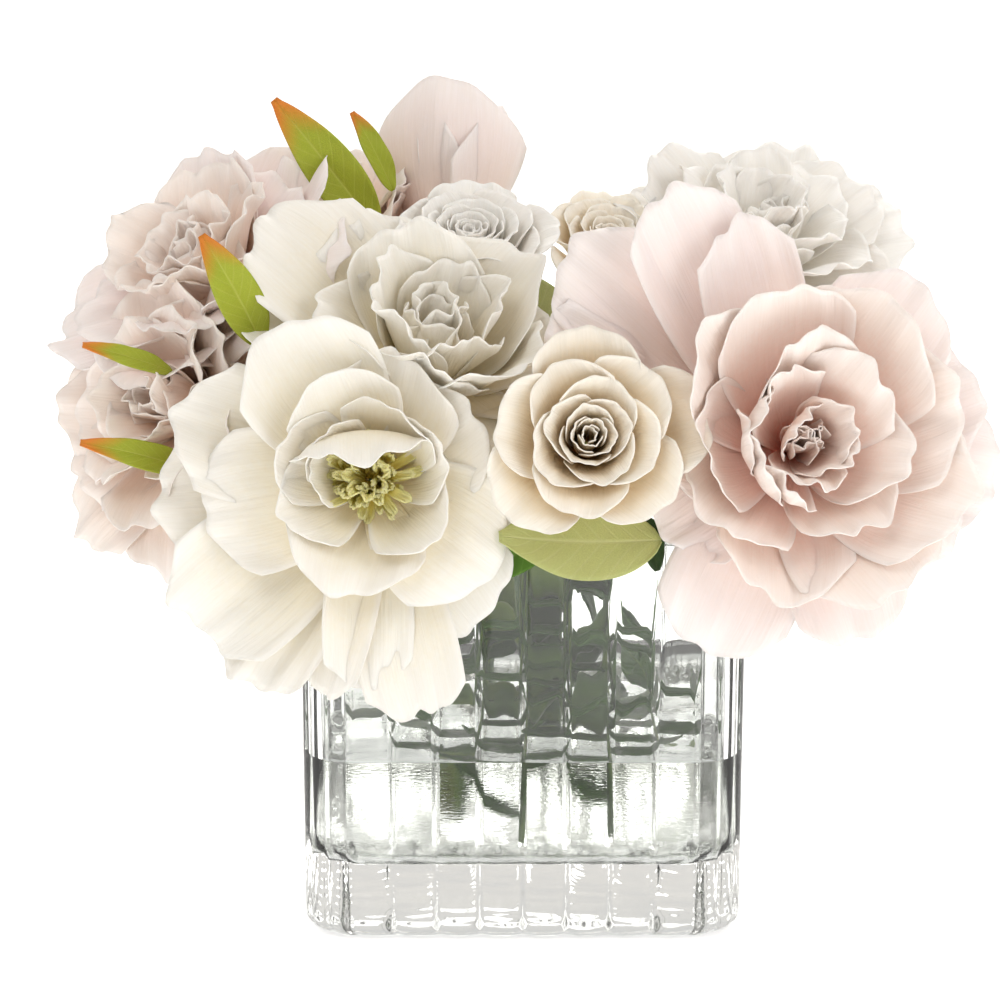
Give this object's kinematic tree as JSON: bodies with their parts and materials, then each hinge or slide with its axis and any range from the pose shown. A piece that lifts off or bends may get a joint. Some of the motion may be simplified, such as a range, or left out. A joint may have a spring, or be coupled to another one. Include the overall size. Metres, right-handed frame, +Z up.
{
  "type": "peonies in a vase",
  "caption": "Bunch of open peonies and garden roses on tied stems, standing in water in a square fluted clear glass vase.",
  "frame": {"origin": "centre of the vase's flat underside", "axes": "+Z up; -Y is the front, the side that the large blooms hang over; +X is to the right seen from the front"},
  "size_m": [0.3162, 0.2506, 0.2791],
  "materials": {
    "clear_glass": "clear pressed glass, polished, vertical convex flutes",
    "water": "clear water, still surface",
    "tie": "pale grey band, matte",
    "ivory_petal": "ivory petal, soft satin, fine lengthwise veins, yellow towards the base",
    "white_petal": "white petal, soft satin, fine lengthwise veins",
    "cream_petal": "cream petal, soft satin, warmer towards the heart",
    "blush_petal": "blush petal, soft satin, deeper pink towards the heart",
    "lilac_petal": "pale lilac pink petal, soft satin, fine lengthwise veins",
    "stamen": "yellow stamens, matte",
    "stem": "dark green stem with reddish brown patches, semi-matte",
    "calyx": "green calyx, semi-matte",
    "leaf": "dark green leaf, semi-matte, fine veins",
    "young_leaf": "yellow green leaf with an orange tip, semi-matte",
    "pale_leaf": "pale yellow green leaf, matte"
  },
  "bodies": {
    "root": {"vase": "clear_glass", "water": "water", "stem_tie": "tie", "ivory_peony_stem": "stem", "ivory_peony_calyx": "calyx", "ivory_peony_guard_petals": "ivory_petal", "ivory_peony_inner_petals": "ivory_petal", "upper_ivory_peony_stem": "stem", "upper_ivory_peony_calyx": "calyx", "upper_ivory_peony_guard_petals": "ivory_petal", "upper_ivory_peony_inner_petals": "ivory_petal", "white_rose_stem": "stem", "white_rose_calyx": "calyx", "white_rose_guard_petals": "white_petal", "white_rose_inner_petals": "white_petal", "cream_rose_stem": "stem", "cream_rose_calyx": "calyx", "cream_rose_guard_petals": "cream_petal", "cream_rose_inner_petals": "cream_petal", "blush_peony_stem": "stem", "blush_peony_calyx": "calyx", "blush_peony_guard_petals": "blush_petal", "blush_peony_inner_petals": "blush_petal", "upper_left_blush_peony_stem": "stem", "upper_left_blush_peony_calyx": "calyx", "upper_left_blush_peony_guard_petals": "blush_petal", "upper_left_blush_peony_inner_petals": "blush_petal", "lower_left_blush_peony_stem": "stem", "lower_left_blush_peony_calyx": "calyx", "lower_left_blush_peony_guard_petals": "blush_petal", "lower_left_blush_peony_inner_petals": "blush_petal", "rear_left_blush_peony_stem": "stem", "rear_left_blush_peony_calyx": "calyx", "rear_left_blush_peony_guard_petals": "blush_petal", "rear_left_blush_peony_inner_petals": "blush_petal", "pink_bud_stem": "stem", "pink_bud_calyx": "calyx", "pink_bud_petals": "lilac_petal", "upper_white_peony_stem": "stem", "upper_white_peony_calyx": "calyx", "upper_white_peony_guard_petals": "white_petal", "upper_white_peony_inner_petals": "white_petal", "rear_white_peony_stem": "stem", "rear_white_peony_calyx": "calyx", "rear_white_peony_guard_petals": "white_petal", "rear_white_peony_inner_petals": "white_petal", "small_cream_rose_stem": "stem", "small_cream_rose_calyx": "calyx", "small_cream_rose_guard_petals": "cream_petal", "small_cream_rose_inner_petals": "cream_petal", "ivory_peony_stamens": "stamen", "orange_tipped_leaf": "young_leaf", "small_orange_tipped_leaf": "young_leaf", "left_orange_tipped_leaf": "young_leaf", "front_green_leaf": "leaf", "front_dark_leaf": "leaf", "pale_sepal_leaf": "pale_leaf"}
  },
  "joints": []
}
